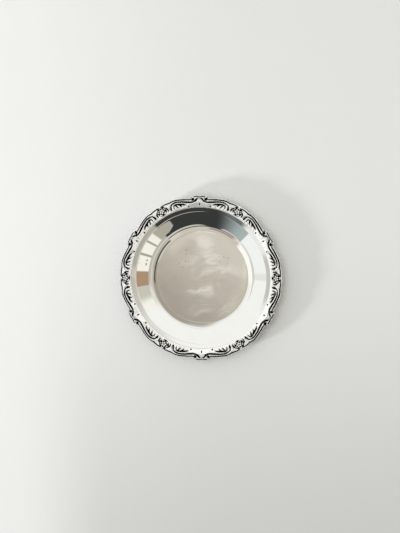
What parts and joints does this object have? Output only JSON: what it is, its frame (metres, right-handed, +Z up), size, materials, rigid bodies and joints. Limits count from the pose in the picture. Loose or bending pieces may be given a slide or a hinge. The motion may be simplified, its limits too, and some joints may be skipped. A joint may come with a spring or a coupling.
{
  "type": "coin tray",
  "caption": "Shallow round silver-plated dish for coins and keys, with a cast border of shells, flowers and scrolls.",
  "frame": {"origin": "middle of the flat base, on the surface that the tray stands on", "axes": "+Z up along the dish's axis, +X through the middle of a flower and a casting"},
  "size_m": [0.16, 0.16, 0.0127],
  "materials": {
    "polished_silver": "polished silver plate, faint hand-polishing marks",
    "cast_silver": "bright cast silver with black oxidised recesses"
  },
  "bodies": {
    "root": {"dish_body": "polished_silver", "border_section_1": "cast_silver", "border_section_2": "cast_silver", "border_section_3": "cast_silver", "border_section_4": "cast_silver", "border_section_5": "cast_silver", "border_section_6": "cast_silver"}
  },
  "joints": []
}
